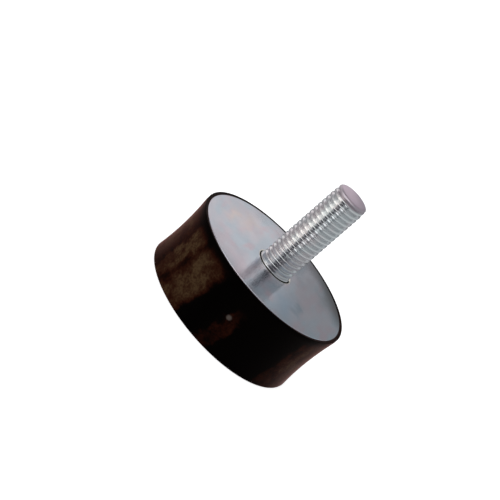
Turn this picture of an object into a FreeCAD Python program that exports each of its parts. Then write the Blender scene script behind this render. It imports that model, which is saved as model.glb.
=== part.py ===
import FreeCAD, Part

import math
import os

# Anti-vibration mount: a waisted rubber body with a steel plate bonded into its top, and a threaded
# stud pressed through the plate. Millimetres. +Z runs along the stud, and the rubber base lies on z = 0.

# Rubber body
rim_diameter = 50.0  # the lip round the plate, the widest place
rim_land = 1.0  # straight land below the lip's top
lip_width = 0.95  # rubber outside the plate's edge
waist_inset = 0.8  # how far the waist lies inside the rim
waist_height = 7.0
base_flare = 0.3  # how far the base stands outside the waist
base_chamfer = 0.5

# Mounting plate
mount_height = 20.0  # rubber base to plate face
plate_thickness = 2.5
plate_proud = 0.1  # plate face above the lip
plate_edge_radius = 0.1  # eased at the face only
hole_diameter = 10.8
hole_chamfer = 0.15

# Threaded stud, with the thread drawn as a plain shank at its crest diameter
thread_crest_diameter = 9.85  # M10 x 1.5, the middle of its tolerance
thread_length = 27.6
tip_chamfer = 0.7
collar_gap = 0.25  # between the collar at the thread's foot and the hole
collar_depth = 1.0  # from the plate's face down to the pressed shank
collar_rise = 0.4  # from the plate's face up to the thread
head_diameter = 16.0
head_thickness = 2.0

rim_radius = rim_diameter / 2
waist_radius = rim_radius - waist_inset
base_radius = waist_radius + base_flare
lip_height = mount_height - plate_proud
plate_radius = rim_radius - lip_width
plate_back = mount_height - plate_thickness
hole_radius = hole_diameter / 2
thread_radius = thread_crest_diameter / 2
thread_start = mount_height + collar_rise
thread_end = thread_start + thread_length

CENTRE = FreeCAD.Vector(0, 0, 0)
UP = FreeCAD.Vector(0, 0, 1)


def point(radius, height):
    return FreeCAD.Vector(radius, 0, height)


def straight(*points):
    """The edges of straight runs from point to point of a half section."""
    return [Part.LineSegment(a, b).toShape() for a, b in zip(points, points[1:])]


def turned(edges):
    """The solid that a closed half section makes round the stud's axis."""
    return Part.Face(Part.Wire(edges)).revolve(CENTRE, UP, 360)


def waist_arc(end):
    """The arc that leaves the waist parallel to the axis and reaches the given point."""
    waist = point(waist_radius, waist_height)
    rise = end.z - waist.z
    reach = end.x - waist.x
    curvature = 2 * reach / (rise**2 + reach**2)
    half_rise = rise / 2
    bulge = curvature * half_rise**2 / (1 + math.sqrt(1 - (curvature * half_rise) ** 2))
    middle = point(waist.x + bulge, waist.z + half_rise)
    return Part.Arc(waist, middle, end).toShape()


def make_plate_blank():
    """A punched disc, eased where its side meets its face."""
    disc = Part.makeCylinder(plate_radius, plate_thickness, point(0, plate_back))
    face_edge = [edge for edge in disc.Edges if edge.BoundBox.ZMin > plate_back + plate_thickness / 2]
    return disc.makeFillet(plate_edge_radius, face_edge)


def make_mounting_plate():
    """The disc with its hole, opened by a small chamfer at the face."""
    hole = Part.makeCylinder(hole_radius, plate_thickness, point(0, plate_back))
    chamfer = Part.makeCone(
        hole_radius, hole_radius + hole_chamfer, hole_chamfer, point(0, mount_height - hole_chamfer)
    )
    return make_plate_blank().cut(hole).cut(chamfer)


def make_threaded_stud():
    """Head, pressed shank, collar, thread and chamfered tip, turned in one piece."""
    head_radius = head_diameter / 2
    collar_radius = hole_radius - collar_gap
    head_back = plate_back - head_thickness
    collar_start = mount_height - collar_depth
    tip = thread_end + tip_chamfer
    return turned(
        straight(
            point(0, head_back),
            point(head_radius, head_back),
            point(head_radius, plate_back),
            point(hole_radius, plate_back),
            point(hole_radius, collar_start),
            point(collar_radius, collar_start),
            point(collar_radius, thread_start),
            point(thread_radius, thread_start),
            point(thread_radius, thread_end),
            point(thread_radius - tip_chamfer, tip),
            point(0, tip),
            point(0, head_back),
        )
    )


def make_rubber_body():
    """The waisted body, moulded round the plate and the stud's head."""
    flare_end = point(base_radius, base_chamfer)
    land_start = point(rim_radius, lip_height - rim_land)
    body = turned(
        straight(CENTRE, point(base_radius - base_chamfer, 0), flare_end)
        + [waist_arc(flare_end), waist_arc(land_start)]
        + straight(land_start, point(rim_radius, lip_height), point(0, lip_height), CENTRE)
    )
    return body.cut(make_plate_blank()).cut(make_threaded_stud())


PIECES = {
    "rubber_body": make_rubber_body,
    "mounting_plate": make_mounting_plate,
    "threaded_stud": make_threaded_stud,
}

os.makedirs("parts", exist_ok=True)
for name, make_piece in PIECES.items():
    piece = make_piece()
    piece.exportStep(f"parts/{name}.step")
    print(f"{name}: {len(piece.Solids)} solid, {piece.Volume / 1000:.3f} cm3, valid {piece.isValid()}")
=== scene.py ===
import math

import bpy
from mathutils import Matrix, Vector


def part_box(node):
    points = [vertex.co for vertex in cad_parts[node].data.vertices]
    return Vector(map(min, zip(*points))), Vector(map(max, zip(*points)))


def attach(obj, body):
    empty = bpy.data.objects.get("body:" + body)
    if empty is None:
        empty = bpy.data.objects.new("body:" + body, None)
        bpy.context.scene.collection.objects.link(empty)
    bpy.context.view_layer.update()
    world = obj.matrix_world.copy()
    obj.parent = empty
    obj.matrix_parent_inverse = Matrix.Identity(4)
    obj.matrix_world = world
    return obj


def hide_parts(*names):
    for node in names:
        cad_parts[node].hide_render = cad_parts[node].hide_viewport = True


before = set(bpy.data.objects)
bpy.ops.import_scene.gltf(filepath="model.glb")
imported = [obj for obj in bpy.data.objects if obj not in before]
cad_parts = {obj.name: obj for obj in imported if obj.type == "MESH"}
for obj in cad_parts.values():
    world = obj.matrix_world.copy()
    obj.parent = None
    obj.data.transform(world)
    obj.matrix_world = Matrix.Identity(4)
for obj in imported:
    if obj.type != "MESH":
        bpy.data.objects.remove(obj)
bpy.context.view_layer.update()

MM = 0.001

# Rubber body. One piece of black rubber, moulded in a heated mould round the steel plate and the stud's
# head, so that it is bonded to both. It is slightly waisted, and its lip stands round the plate's edge.
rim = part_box("rubber_body")[1]
plate_low, plate_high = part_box("mounting_plate")
stud_low, stud_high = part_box("threaded_stud")

rim_radius = rim.x
lip_height = rim.z
plate_radius = plate_high.x
plate_back = plate_low.z
plate_face = plate_high.z
head_radius = stud_high.x
head_back = stud_low.z
waist_inset = 0.8 * MM
waist_height = 7 * MM
base_flare = 0.3 * MM  # how far the base stands outside the waist
waist_radius = rim_radius - waist_inset
base_radius = waist_radius + base_flare
base_rounding = 0.5 * MM
rim_land = 1 * MM
lip_rounding = 0.12 * MM
lip_rise = 0.1 * MM  # from the plate's edge to the rim


def join_inputs(made, inputs):
    """Gives a new node its inputs in order: a node's output, a plain value, or None to skip one."""
    for socket, given in zip(made.inputs, inputs):
        if isinstance(given, bpy.types.NodeSocket):
            made.id_data.links.new(given, socket)
        elif given is not None:
            socket.default_value = given
    return made


def add_node(tree, kind, *inputs, **settings):
    made = tree.nodes.new(kind)
    for name, setting in settings.items():
        setattr(made, name, setting)
    return join_inputs(made, inputs)


def maths(tree, operation, *inputs):
    return add_node(tree, "ShaderNodeMath", *inputs, operation=operation).outputs[0]


def vector_maths(tree, operation, *inputs):
    """The vector that the operation gives, or its number where it gives one."""
    made = add_node(tree, "ShaderNodeVectorMath", *inputs, operation=operation)
    gives_number = operation in ("DOT_PRODUCT", "DISTANCE", "LENGTH")
    return made.outputs["Value" if gives_number else "Vector"]


def parts_of(tree, vector):
    return add_node(tree, "ShaderNodeSeparateXYZ", vector).outputs


def place_of_points(tree):
    return add_node(tree, "GeometryNodeInputPosition").outputs[0]


def new_modifier_tree(name, **sizes):
    """A Geometry Nodes tree with an input for the mesh, one for its material and one for each size."""
    tree = bpy.data.node_groups.new(name, "GeometryNodeTree")
    tree.interface.new_socket("Geometry", in_out="INPUT", socket_type="NodeSocketGeometry")
    tree.interface.new_socket("Material", in_out="INPUT", socket_type="NodeSocketMaterial")
    for size, kind in sizes.items():
        tree.interface.new_socket(size, in_out="INPUT", socket_type=f"NodeSocket{kind}")
    tree.interface.new_socket("Geometry", in_out="OUTPUT", socket_type="NodeSocketGeometry")
    return tree, tree.nodes.new("NodeGroupInput").outputs


def end_modifier_tree(tree, shape, material):
    real = add_node(tree, "GeometryNodeRealizeInstances", shape)
    painted = add_node(tree, "GeometryNodeSetMaterial", real.outputs[0], None, material)
    add_node(tree, "NodeGroupOutput", painted.outputs[0])


sharp_edge = math.radians(30)


def run_tree(piece, tree, material, **sizes):
    """Runs the tree on the piece and keeps the result as its plain mesh, smooth but for sharp edges."""
    modifier = piece.modifiers.new(tree.name, "NODES")
    modifier.node_group = tree
    sockets = [item for item in tree.interface.items_tree if item.in_out == "INPUT"]
    inputs = {socket.name: socket.identifier for socket in sockets}
    modifier[inputs["Material"]] = material
    for size, value in sizes.items():
        modifier[inputs[size]] = value
    evaluated = piece.evaluated_get(bpy.context.evaluated_depsgraph_get())
    result = bpy.data.meshes.new_from_object(evaluated)
    piece.modifiers.remove(modifier)
    piece.data = result
    result.name = piece.name
    result.shade_smooth()
    result.set_sharp_from_angle(angle=sharp_edge)


def half_section(name, points):
    """A piece that is so far only its half section, a chain of edges through points (radius, height)."""
    mesh = bpy.data.meshes.new(name)
    edges = [(i, i + 1) for i in range(len(points) - 1)]
    mesh.from_pydata([(radius, 0, height) for radius, height in points], edges, [])
    piece = bpy.data.objects.new(name, mesh)
    bpy.context.scene.collection.objects.link(piece)
    return piece


def arc(start, corner, end, steps=5):
    """Points of the round stretch that leaves start towards the corner and comes to end from it."""
    quarter_turn = math.pi / 2
    points = []
    for i in range(steps + 1):
        to_corner = math.sin(i / steps * quarter_turn)
        to_end = 1 - math.cos(i / steps * quarter_turn)
        radius = start[0] + to_corner * (corner[0] - start[0]) + to_end * (end[0] - corner[0])
        height = start[1] + to_corner * (corner[1] - start[1]) + to_end * (end[1] - corner[1])
        points.append((radius, height))
    return points


def waist_arc(end, steps=30):
    """Points from the waist to the end along the arc that leaves the waist parallel to the axis."""
    rise = end[1] - waist_height
    reach = end[0] - waist_radius
    bend_radius = (rise**2 + reach**2) / (2 * reach)
    points = []
    for i in range(steps + 1):
        height = rise * i / steps
        flare = bend_radius - math.sqrt(bend_radius**2 - height**2)
        points.append((waist_radius + flare, waist_height + height))
    return points


# The tree that turns a half section round the stud's axis. It bends a flat sheet, whose columns are the
# bearings and whose rows are the half section's points.
merge_distance = 0.002 * MM
turning, given = new_modifier_tree("turned round the axis", Points="Int", Columns="Int")
columns_and_one = maths(turning, "ADD", given["Columns"], 1)
sheet = add_node(turning, "GeometryNodeMeshGrid", 1, 1, columns_and_one, given["Points"])
place = parts_of(turning, place_of_points(turning))
angle = maths(turning, "MULTIPLY", maths(turning, "ADD", place["X"], 0.5), 2 * math.pi)
last_point = maths(turning, "SUBTRACT", given["Points"], 1)
along = maths(turning, "MULTIPLY", maths(turning, "ADD", place["Y"], 0.5), last_point)
sample = add_node(turning, "GeometryNodeSampleIndex", given["Geometry"], data_type="FLOAT_VECTOR")
turning.links.new(place_of_points(turning), sample.inputs["Value"])
turning.links.new(maths(turning, "ROUND", along), sample.inputs["Index"])
outline_point = parts_of(turning, sample.outputs[0])
turned_place = add_node(
    turning,
    "ShaderNodeCombineXYZ",
    maths(turning, "MULTIPLY", outline_point["X"], maths(turning, "COSINE", angle)),
    maths(turning, "MULTIPLY", outline_point["X"], maths(turning, "SINE", angle)),
    outline_point["Z"],
)
turned = add_node(turning, "GeometryNodeSetPosition", sheet.outputs["Mesh"])
turning.links.new(turned_place.outputs[0], turned.inputs["Position"])
closed = add_node(turning, "GeometryNodeMergeByDistance", turned.outputs[0])
closed.inputs["Distance"].default_value = merge_distance
end_modifier_tree(turning, closed.outputs[0], given["Material"])


def new_finish(name, roughness, metallic=0.0):
    """A new material with its tree, its surface and the place on the piece, which its patterns read."""
    finish = bpy.data.materials.new(name)
    finish.use_nodes = True
    tree = finish.node_tree
    surface = tree.nodes["Principled BSDF"]
    surface.inputs["Roughness"].default_value = roughness
    surface.inputs["Metallic"].default_value = metallic
    return finish, tree, surface, tree.nodes.new("ShaderNodeTexCoord").outputs["Object"]


def cloudy(tree, place, size, stretch=(1, 1, 1), detail=3):
    """Soft clouds about as large as the given size, stretched along the axes as given."""
    scaled = add_node(tree, "ShaderNodeMapping", place)
    scaled.inputs["Scale"].default_value = [1 / (size * share) for share in stretch]
    return add_node(tree, "ShaderNodeTexNoise", scaled.outputs[0], None, 1, detail).outputs["Fac"]


def between(tree, value, start, end, low=0, high=1):
    """low up to where the value reaches start, high from where it reaches end, and a soft S between."""
    numbers = (value, start, end, low, high)
    step = add_node(tree, "ShaderNodeMapRange", *numbers, interpolation_type="SMOOTHSTEP")
    return step.outputs[0]


def colour_mix(tree, share, first, second):
    mix = tree.nodes.new("ShaderNodeMix")
    mix.data_type = "RGBA"
    for socket, given in ((mix.inputs[0], share), (mix.inputs[6], first), (mix.inputs[7], second)):
        if isinstance(given, bpy.types.NodeSocket):
            tree.links.new(given, socket)
        else:
            socket.default_value = given if socket.type == "VALUE" else (*given, 1)
    return mix.outputs[2]


def fine_bumps(tree, surface, height, depth):
    """Leans the surface as the height says, which runs from 0 to 1 over the depth."""
    bump = tree.nodes.new("ShaderNodeBump")
    bump.inputs["Distance"].default_value = depth
    tree.links.new(height, bump.inputs["Height"])
    tree.links.new(bump.outputs[0], surface.inputs["Normal"])


# The wall's skin is black, with brown and red streaks that run down it, partly bloom and partly painted
# highlights and sheen. Their bearings, and the gate mark's, are counted from the front towards the
# right.
gate_bearing = math.radians(4.2)
gate_height = 10.7 * MM
gate_radius = 1.0 * MM
gate_rise = 0.15 * MM
gate = (waist_radius * math.sin(gate_bearing), -waist_radius * math.cos(gate_bearing), gate_height)

moulded_rubber, tree, skin, place = new_finish("moulded_rubber", 0.36)
black = (0.0008, 0.0006, 0.0006)
dark_red = (0.030, 0.0065, 0.0032)
gold_bloom_and_highlight = (0.092, 0.052, 0.025)
pale_gate = (0.13, 0.10, 0.088)
streak_fade = 5 * MM
streak_lean = math.radians(0.4) / MM  # how far the streaks lean to the left, going down
streak_sway = 0.02
mottle_size = 0.6 * MM
blotch_size = 3 * MM
faint_height = 2 * MM  # up to which the bloom is faint
full_height = 10 * MM
bloom_and_highlight_streaks = [  # bearing and half width in degrees, top below the lip in mm, strength
    (-28, 13.5, 0.3, 0.9),
    (-49.5, 8.5, 0.3, 0.65),
    (-48, 34, 0.3, 0.28),
    (-94, 38, 0.3, 0.9),
    (7, 7, 4.0, 0.32),
    (57, 9, -1.0, 0.36),
    (92, 40, -1.5, 0.85),
]
on_wall = parts_of(tree, place)
flat_place = add_node(tree, "ShaderNodeCombineXYZ", on_wall["X"], on_wall["Y"], 0).outputs[0]
outwards = vector_maths(tree, "NORMALIZE", flat_place)
below_gate = maths(tree, "SUBTRACT", gate_height, on_wall["Z"])
leaning = add_node(tree, "ShaderNodeVectorRotate", outwards, rotation_type="Z_AXIS")
tree.links.new(maths(tree, "MULTIPLY", below_gate, streak_lean), leaning.inputs["Angle"])
clouds = cloudy(tree, place, blotch_size, detail=4)
sway = maths(tree, "MULTIPLY", maths(tree, "SUBTRACT", clouds, 0.5), streak_sway)
bloom_and_highlight = 0
for bearing, half_width, below_lip, strength in bloom_and_highlight_streaks:
    bearing = math.radians(bearing)
    middle = (math.sin(bearing), -math.cos(bearing), 0)
    facing = vector_maths(tree, "DOT_PRODUCT", leaning.outputs[0], middle)
    edge = math.cos(math.radians(half_width))
    streak = between(tree, maths(tree, "ADD", facing, sway), edge, 1, 0, strength)
    streak_top = lip_height - below_lip * MM
    fading = between(tree, on_wall["Z"], streak_top, streak_top - streak_fade)
    bloom_and_highlight = maths(tree, "ADD", bloom_and_highlight, maths(tree, "MULTIPLY", streak, fading))
mottle = between(tree, cloudy(tree, place, mottle_size, detail=6), 0.32, 0.66, 0.6, 1)
blotches = between(tree, clouds, 0.3, 0.62, 0.5, 1)
fainter_base = between(tree, on_wall["Z"], faint_height, full_height, 0.7, 1)
for share in (mottle, blotches, fainter_base):
    bloom_and_highlight = maths(tree, "MULTIPLY", bloom_and_highlight, share)
# The streaks' red and gold are partly bloom and partly painted highlights and sheen at the limbs
reddened = colour_mix(tree, between(tree, bloom_and_highlight, 0, 0.35), black, dark_red)
bloom_and_highlight_colour = colour_mix(tree, between(tree, bloom_and_highlight, 0.22, 1.0), reddened, gold_bloom_and_highlight)
# The gate mark's pale colour is partly paler rubber and partly a painted highlight
from_gate = vector_maths(tree, "DISTANCE", place, gate)
gate_share = between(tree, from_gate, gate_radius, 0.4 * gate_radius)
tree.links.new(colour_mix(tree, gate_share, bloom_and_highlight_colour, pale_gate), skin.inputs["Base Color"])
skin.inputs["Specular IOR Level"].default_value = 0.012
skin.inputs["Specular Tint"].default_value = (1, 0.7, 0.55, 1)
skin.inputs["Sheen Weight"].default_value = 0.7
skin.inputs["Sheen Roughness"].default_value = 0.24
skin.inputs["Sheen Tint"].default_value = (1, 0.44, 0.36, 1)
flat_clouds = cloudy(tree, place, 5 * MM, (1, 1, 3))
tree.links.new(between(tree, flat_clouds, 0.3, 0.7, 0.30, 0.44), skin.inputs["Roughness"])
fine_bumps(tree, skin, cloudy(tree, place, 0.35 * MM, detail=6), 0.02 * MM)

land_start = (rim_radius, lip_height - rim_land)
flare_end = (base_radius, base_rounding)
body_outline = [
    (0, 0),
    *arc((base_radius - base_rounding, 0), (base_radius, 0), flare_end),
    *reversed(waist_arc(flare_end)[1:-1]),
    *waist_arc(land_start),
    *arc(
        (rim_radius, lip_height + lip_rise - lip_rounding),
        (rim_radius, lip_height + lip_rise),
        (rim_radius - lip_rounding, lip_height + lip_rise),
    ),
    *arc(
        (plate_radius + lip_rounding, lip_height),
        (plate_radius, lip_height),
        (plate_radius, lip_height - lip_rounding),
    ),
    (plate_radius, plate_back),
    (head_radius, plate_back),
    (head_radius, head_back),
    (0, head_back),
]
rubber_body = half_section("moulded_body", body_outline)
run_tree(rubber_body, turning, moulded_rubber, Points=len(body_outline), Columns=480)

# The tree that raises the small round mark of the mould's gate out of the wall
marking, given = new_modifier_tree("gate mark", Mark="Vector", Radius="Float", Rise="Float")
away = vector_maths(marking, "DISTANCE", place_of_points(marking), given["Mark"])
flat_top = maths(marking, "MULTIPLY", given["Radius"], 0.5)
rise = maths(marking, "MULTIPLY", between(marking, away, given["Radius"], flat_top), given["Rise"])
level_place = vector_maths(marking, "MULTIPLY", given["Mark"], (1, 1, 0))
outwards = vector_maths(marking, "NORMALIZE", level_place)
offset = add_node(marking, "ShaderNodeVectorMath", outwards, operation="SCALE")
marking.links.new(rise, offset.inputs["Scale"])
marked = add_node(marking, "GeometryNodeSetPosition", given["Geometry"])
marking.links.new(offset.outputs[0], marked.inputs["Offset"])
end_modifier_tree(marking, marked.outputs[0], given["Material"])

run_tree(rubber_body, marking, moulded_rubber, Mark=gate, Radius=gate_radius, Rise=gate_rise)
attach(rubber_body, "root")
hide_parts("rubber_body")

# Mounting plate. A disc punched from steel sheet and zinc plated, bonded into the rubber's top. The
# punch has rounded its edge, and the stud's hole in its middle is eased by a small chamfer.
edge_rounding = 0.2 * MM
hole_radius = 5.4 * MM
hole_chamfer = 0.15 * MM

bright_zinc, tree, zinc, place = new_finish("bright_zinc", 0.2, metallic=1)
lilac = (0.72, 0.69, 0.74)
sky_blue = (0.63, 0.70, 0.77)
deep_blue = (0.56, 0.68, 0.80)
peach = (0.84, 0.71, 0.66)
rose = (0.74, 0.63, 0.68)
rim_shade_grey = (0.40, 0.41, 0.43)
slate = (0.42, 0.50, 0.57)
pale_lilac = (0.84, 0.82, 0.88)
rim_shade_brown = (0.12, 0.105, 0.10)
lengthwise = (1, 2.5, 1)
blue_share = between(tree, cloudy(tree, place, 6 * MM, lengthwise, detail=1), 0.38, 0.66)
rose_share = between(tree, cloudy(tree, place, 4 * MM, lengthwise, detail=2), 0.45, 0.75)
film = colour_mix(tree, blue_share, lilac, sky_blue)
film = colour_mix(tree, rose_share, film, rose)
blotches = [  # place on the face and half width in mm, strength, tint
    (-17.6, 2.6, 2.2, 0.8, peach),
    (-13.0, 7.6, 2.6, 0.6, peach),
    (-15.7, -3.5, 2.2, 0.9, sky_blue),
    (-14.5, -12.0, 2.4, 0.7, rose),
    (-8.0, -15.5, 3.2, 0.7, rose),
    (9.0, -14.0, 4.0, 0.9, deep_blue),
    (12.9, -0.7, 2.0, 0.7, rose),
    # The grey blotch by the far rim is painted shade, a dark reflection
    (16.5, 16.5, 4.0, 0.8, rim_shade_grey),
    (12.0, -8.0, 1.6, 0.7, slate),
    (7.2, 13.0, 1.8, 0.8, pale_lilac),
]
wander_size = 5 * MM
wander_reach = (6 * MM, 6 * MM, 0)
clouds = add_node(tree, "ShaderNodeTexNoise", place, None, 1 / wander_size, 2).outputs["Color"]
wander = vector_maths(tree, "SUBTRACT", clouds, (0.5, 0.5, 0.5))
wandered = vector_maths(tree, "MULTIPLY_ADD", wander, wander_reach, place)
for x, y, half_width, strength, tint in blotches:
    centred = vector_maths(tree, "SUBTRACT", wandered, (x * MM, y * MM, plate_face))
    away = vector_maths(tree, "LENGTH", vector_maths(tree, "DIVIDE", centred, lengthwise))
    share = between(tree, away, 1.5 * half_width * MM, 0, 0, strength)
    film = colour_mix(tree, share, film, tint)

# Painted shade along the rim, a dark reflection, strongest at its middle bearing
rim_shade_bearing = math.radians(46)
rim_shade_half_width = math.radians(38)
rim_shade_depth = 6 * MM
rim_shade_peak = plate_radius + 1 * MM
on_plate = parts_of(tree, place)
flat_place = add_node(tree, "ShaderNodeCombineXYZ", on_plate["X"], on_plate["Y"], 0).outputs[0]
rim_shade_middle = (math.sin(rim_shade_bearing), math.cos(rim_shade_bearing), 0)
facing = vector_maths(tree, "DOT_PRODUCT", vector_maths(tree, "NORMALIZE", flat_place), rim_shade_middle)
from_axis = vector_maths(tree, "LENGTH", flat_place)
near_rim = between(tree, from_axis, plate_radius - rim_shade_depth, rim_shade_peak)
rim_shade = maths(tree, "MULTIPLY", near_rim, between(tree, facing, math.cos(rim_shade_half_width), 1))
film = colour_mix(tree, rim_shade, film, rim_shade_brown)

# Painted highlight round the hole's edge, and painted shade down in the joint
hole_edge_highlight = (0.86, 0.82, 0.74)
hole_highlight_width = 0.5 * MM
full_hole_highlight_width = 0.2 * MM
joint_shade = (0.012, 0.011, 0.010)
joint_shade_fade = 0.05 * MM
from_middle = vector_maths(tree, "DISTANCE", place, (0, 0, plate_face))
hole_highlight_end = hole_radius + hole_highlight_width
hole_highlight_share = between(tree, from_middle, hole_highlight_end, hole_radius + full_hole_highlight_width)
film = colour_mix(tree, hole_highlight_share, film, hole_edge_highlight)
# Painted shade in the joint, below the hole's chamfer
joint_shade_top = plate_face - hole_chamfer
film = colour_mix(tree, between(tree, on_plate["Z"], joint_shade_top, joint_shade_top - joint_shade_fade), film, joint_shade)
tree.links.new(film, zinc.inputs["Base Color"])
clouds = cloudy(tree, place, 6 * MM)
tree.links.new(between(tree, clouds, 0.3, 0.7, 0.17, 0.24), zinc.inputs["Roughness"])
fine_bumps(tree, zinc, cloudy(tree, place, 0.3 * MM, detail=5), 0.004 * MM)

plate_outline = [
    (hole_radius, plate_back),
    (plate_radius, plate_back),
    *arc(
        (plate_radius, plate_face - edge_rounding),
        (plate_radius, plate_face),
        (plate_radius - edge_rounding, plate_face),
    ),
    (hole_radius + hole_chamfer, plate_face),
    (hole_radius, plate_face - hole_chamfer),
    (hole_radius, plate_back),
]
plate = half_section("zinc_plated_disc", plate_outline)
run_tree(plate, turning, bright_zinc, Points=len(plate_outline), Columns=240)
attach(plate, "root")
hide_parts("mounting_plate")

# Threaded stud. Cold-headed and zinc-plated steel with a rolled M10 x 1.5 thread. Its shank is pressed
# into the plate's hole, its flat head lies under the plate, and its end is rounded off.
crest_radius = 4.925 * MM  # the middle of the thread's tolerance
pitch = 1.5 * MM
thread_depth = 0.55 * MM
half_crest = 0.15  # of the pitch
run_out = 1.8 * MM  # over which the first turns deepen
last_full_depth = 1.1 * MM  # below the tip
groove_end = 0.3 * MM  # below the tip
collar_radius = 5.15 * MM
collar_start = plate_face - 1 * MM
collar_rounding = 0.2 * MM
thread_start = plate_face + 0.4 * MM
tip_softness = 0.3 * MM
softness_dip = tip_softness / 6  # how far the soft minimum lies below two equal radii, made up for
tip_rounding = 1.2 * MM
lead_depth = 0.15 * MM  # how much lower the last crests are
lead_start = 2.7 * MM  # below the tip
lead_full = 1.6 * MM
tip = stud_high.z
thread_columns = 96
rows_in_pitch = 20

# The tree that rolls the thread: a sheet whose rows climb one pitch in a turn, so that they lie along
# the crests and roots. Rows past either end are held there and merged, and the last row closes the tip.
rolling, given = new_modifier_tree(
    "rolled thread",
    Crest="Float",
    Depth="Float",
    Pitch="Float",
    Start="Float",
    Tip="Float",
    Rounding="Float",
    Columns="Int",
    Rows="Int",
)
columns_and_one = maths(rolling, "ADD", given["Columns"], 1)
rows_and_one = maths(rolling, "ADD", given["Rows"], 1)
sheet = add_node(rolling, "GeometryNodeMeshGrid", 1, 1, columns_and_one, rows_and_one)
place = parts_of(rolling, place_of_points(rolling))
turn = maths(rolling, "ADD", place["X"], 0.5)
row = maths(rolling, "MULTIPLY", maths(rolling, "ADD", place["Y"], 0.5), given["Rows"])
row_in_turns = maths(rolling, "DIVIDE", row, rows_in_pitch)
climb = maths(rolling, "SUBTRACT", maths(rolling, "ADD", row_in_turns, turn), 1)
free_height = maths(rolling, "ADD", given["Start"], maths(rolling, "MULTIPLY", climb, given["Pitch"]))
height = maths(rolling, "MINIMUM", maths(rolling, "MAXIMUM", free_height, given["Start"]), given["Tip"])
above_start = maths(rolling, "SUBTRACT", height, given["Start"])
pitches_up = maths(rolling, "DIVIDE", above_start, given["Pitch"])
phase = maths(rolling, "FRACT", maths(rolling, "SUBTRACT", pitches_up, turn))
from_root = maths(rolling, "ABSOLUTE", maths(rolling, "SUBTRACT", phase, 0.5))
below_tip = maths(rolling, "SUBTRACT", given["Tip"], height)
groove = between(rolling, from_root, 0.5 - half_crest, 0)
deepening = between(rolling, above_start, 0, run_out)
ending = between(rolling, below_tip, groove_end, last_full_depth)
cut = maths(rolling, "MULTIPLY", groove, maths(rolling, "MULTIPLY", deepening, ending))
lead = between(rolling, below_tip, lead_start, lead_full, 0, lead_depth + softness_dip)
crest = maths(rolling, "SUBTRACT", given["Crest"], lead)
thread_radius = maths(rolling, "SUBTRACT", crest, maths(rolling, "MULTIPLY", cut, given["Depth"]))
rounding = given["Rounding"]
before_round = maths(rolling, "MAXIMUM", maths(rolling, "SUBTRACT", rounding, below_tip), 0)
rounding_squared = maths(rolling, "POWER", rounding, 2)
squares = maths(rolling, "SUBTRACT", rounding_squared, maths(rolling, "POWER", before_round, 2))
inset = maths(rolling, "SUBTRACT", rounding, maths(rolling, "SQRT", squares))
round_radius = maths(rolling, "SUBTRACT", given["Crest"], inset)
outer_radius = maths(rolling, "SMOOTH_MIN", thread_radius, round_radius, tip_softness)
not_last_row = maths(rolling, "LESS_THAN", row, maths(rolling, "SUBTRACT", given["Rows"], 0.5))
radius = maths(rolling, "MULTIPLY", outer_radius, not_last_row)
angle = maths(rolling, "MULTIPLY", turn, 2 * math.pi)
thread_place = add_node(
    rolling,
    "ShaderNodeCombineXYZ",
    maths(rolling, "MULTIPLY", radius, maths(rolling, "COSINE", angle)),
    maths(rolling, "MULTIPLY", radius, maths(rolling, "SINE", angle)),
    height,
)
rolled = add_node(rolling, "GeometryNodeSetPosition", sheet.outputs["Mesh"])
rolling.links.new(thread_place.outputs[0], rolled.inputs["Position"])
both = rolling.nodes.new("GeometryNodeJoinGeometry")
rolling.links.new(rolled.outputs[0], both.inputs[0])
rolling.links.new(given["Geometry"], both.inputs[0])
closed = add_node(rolling, "GeometryNodeMergeByDistance", both.outputs[0])
closed.inputs["Distance"].default_value = merge_distance
end_modifier_tree(rolling, closed.outputs[0], given["Material"])

# The zinc is silvery along the thread and mauve on the end's face. The rounding is a little rougher, and
# its darker mauve is painted shade
thread_roughness = 0.19
rounding_roughness = 0.36
face_roughness = 0.28
zinc_thread, tree, zinc, place = new_finish("zinc_thread", thread_roughness, metallic=1)
silver = (0.74, 0.76, 0.77)
warm_silver = (0.78, 0.75, 0.76)
mauve = (0.78, 0.63, 0.72)
shaded_mauve = (0.62, 0.55, 0.59)
film = colour_mix(tree, between(tree, cloudy(tree, place, 5 * MM), 0.4, 0.6), silver, warm_silver)
height = parts_of(tree, place)["Z"]
below_rounding = tip - 1.4 * MM
on_rounding = tip - 0.9 * MM
below_face = tip - 0.2 * MM
on_face = tip - 0.05 * MM
round_share = between(tree, height, below_rounding, on_rounding)
# Painted shade: a darker mauve on the rounding
film = colour_mix(tree, round_share, film, shaded_mauve)
face_share = between(tree, height, below_face, on_face)
film = colour_mix(tree, face_share, film, mauve)
# Painted shade on the stud's foot, from just above the plate down into the joint
joint_shade_top = plate_face + 0.16 * MM
film = colour_mix(tree, between(tree, height, joint_shade_top, joint_shade_top - joint_shade_fade), film, joint_shade)
tree.links.new(film, zinc.inputs["Base Color"])
rougher = rounding_roughness - thread_roughness
roughness = maths(tree, "MULTIPLY_ADD", round_share, rougher, thread_roughness)
smoother = face_roughness - rounding_roughness
roughness = maths(tree, "MULTIPLY_ADD", face_share, smoother, roughness)
tree.links.new(roughness, zinc.inputs["Roughness"])
fine_bumps(tree, zinc, cloudy(tree, place, 0.25 * MM, detail=4), 0.004 * MM)

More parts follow.
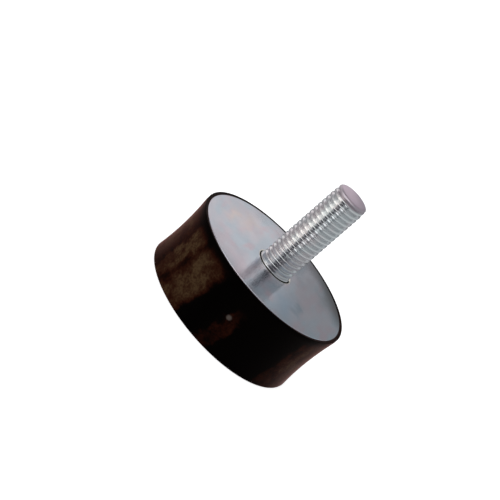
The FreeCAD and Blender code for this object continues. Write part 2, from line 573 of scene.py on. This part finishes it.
shank_outline = [
    (0, head_back),
    (head_radius, head_back),
    (head_radius, plate_back),
    (hole_radius, plate_back),
    (hole_radius, collar_start),
    (collar_radius, collar_start),
    *arc(
        (collar_radius, thread_start - collar_rounding),
        (collar_radius, thread_start),
        (collar_radius - collar_rounding, thread_start),
    ),
    (crest_radius, thread_start),
]
turns_and_one = (tip - thread_start) / pitch + 1
stud = half_section("zinc_plated_stud", shank_outline)
run_tree(stud, turning, zinc_thread, Points=len(shank_outline), Columns=thread_columns)
run_tree(
    stud,
    rolling,
    zinc_thread,
    Crest=crest_radius + softness_dip,
    Depth=thread_depth + softness_dip,
    Pitch=pitch,
    Start=thread_start,
    Tip=tip,
    Rounding=tip_rounding,
    Columns=thread_columns,
    Rows=math.ceil(turns_and_one * rows_in_pitch) + 1,
)
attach(stud, "root")
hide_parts("threaded_stud")

# Floor. A plain white sheet under the mount, which bends up into a wall all round.
sheet_radius = 3000 * MM
sheet_bend = 1000 * MM
sheet_height = 3000 * MM
white_sheet, tree, paper, place = new_finish("white_sheet", 0.8)
paper.inputs["Base Color"].default_value = (0.9, 0.9, 0.9, 1)
paper.inputs["Emission Color"].default_value = (1, 1, 1, 1)
paper.inputs["Emission Strength"].default_value = 0.8
bend_start = (sheet_radius, sheet_bend)
bend_end = (sheet_radius - sheet_bend, 0)
sheet_outline = [
    (sheet_radius, sheet_height),
    *arc(bend_start, (sheet_radius, 0), bend_end, steps=16),
    (0, 0),
]
floor = half_section("floor", sheet_outline)
run_tree(floor, turning, white_sheet, Points=len(sheet_outline), Columns=96)
floor.visible_glossy = False
floor.visible_diffuse = False
floor.visible_shadow = False

# Studio light. Softboxes round the mount in a pale room. Each is given in degrees, as it is seen from
# the stud: its bearing from the camera's side towards the right, its height above the horizon, its size.
light_centre = Vector((0, 0, 30 * MM))


def softbox(name, bearing, height, width, tall, brightness, colour=(1, 1, 1), distance=0.6):
    """A lamp that looks like an evenly bright panel in the zinc's reflections, at any distance."""
    bearing = math.radians(bearing)
    height = math.radians(height)
    outwards = Vector(
        (math.sin(bearing) * math.cos(height), -math.cos(bearing) * math.cos(height), math.sin(height))
    )
    data = bpy.data.lights.new(name, "AREA")
    data.shape = "RECTANGLE"
    data.size = 2 * distance * math.tan(math.radians(width) / 2)
    data.size_y = 2 * distance * math.tan(math.radians(tall) / 2)
    data.energy = brightness * data.size * data.size_y * math.pi
    data.color = colour
    lamp = bpy.data.objects.new(name, data)
    bpy.context.scene.collection.objects.link(lamp)
    lamp.location = light_centre + outwards * distance
    lamp.rotation_mode = "QUATERNION"
    lamp.rotation_quaternion = outwards.to_track_quat("Z", "Y")
    lamp.visible_camera = False


softbox("left_softbox", -49.5, -13.5, 29, 49, 1.04, (1, 0.98, 0.91))
softbox("left_high", -52, 52, 40, 56, 0.5, (0.96, 1, 1))
softbox("left_middle", -34, 20, 16, 14, 0.5, (0.96, 1, 1))
softbox("right_strip", 5, -19, 21, 24, 1.15, (0.95, 0.99, 1))
softbox("low_right_softbox", 90, -50, 125, 84, 0.375, (0.95, 1, 1))
softbox("high_right_softbox", 85, 36, 115, 84, 0.2, (0.9, 0.97, 1))
softbox("left_wall", -76, -7, 35, 52, 0.47, (1, 0.96, 0.93))
softbox("far_left_wall", -123, 12, 61, 76, 0.235, (1, 0.93, 0.95))
softbox("back_softbox", 204, 21, 48, 26, 0.5, (1, 0.97, 0.98), 0.3)
softbox("back_right_softbox", 155, 22, 44, 34, 0.11, (0.92, 0.97, 1), 0.4)
softbox("overhead", -80, 74, 50, 56, 0.75)

# The room is pale, but dark in front of the mount, where the camera stands
world = bpy.data.worlds.new("studio")
bpy.context.scene.world = world
world.use_nodes = True
tree = world.node_tree
outlook = tree.nodes.new("ShaderNodeTexCoord").outputs["Generated"]
pale_wall = (0.17, 0.18, 0.19)
dark_corner = (0.05, 0.05, 0.06)
toward_front = vector_maths(tree, "DOT_PRODUCT", outlook, (0, -1, 0))
room = colour_mix(tree, between(tree, toward_front, 0.75, 0.96), pale_wall, dark_corner)
tree.links.new(room, tree.nodes["Background"].inputs["Color"])

# Camera, at the photograph's viewing angle: 20 degrees above the plate, and rolled so that the stud
# points to the upper right.
camera_distance = 0.65
elevation = math.radians(20.4)
stud_direction = math.radians(41.3)  # of the stud in the picture, above the horizontal
picture_width = 500
width_at_plate = 129.7 * MM
plate_centre_x, plate_centre_y = 274.6, 267.0  # pixels from the left and from the top
sensor_width = 36

pixel = width_at_plate / picture_width
backwards = Vector((0, -math.cos(elevation), math.sin(elevation)))
level_right = Vector((1, 0, 0))
level_up = backwards.cross(level_right)
roll = math.pi / 2 - stud_direction
right = level_right * math.cos(roll) + level_up * math.sin(roll)
up = level_up * math.cos(roll) - level_right * math.sin(roll)
aim = Vector((0, 0, lip_height))
aim += right * (picture_width / 2 - plate_centre_x) * pixel
aim += up * (plate_centre_y - picture_width / 2) * pixel
camera_data = bpy.data.cameras.new("camera")
camera_data.sensor_width = sensor_width
camera_data.lens = sensor_width * camera_distance / width_at_plate
camera = bpy.data.objects.new("camera", camera_data)
bpy.context.scene.collection.objects.link(camera)
turn_to_view = Matrix((right, up, backwards)).transposed()
camera.matrix_world = Matrix.Translation(aim + backwards * camera_distance) @ turn_to_view.to_4x4()
bpy.context.scene.camera = camera
bpy.context.scene.view_settings.view_transform = "Standard"
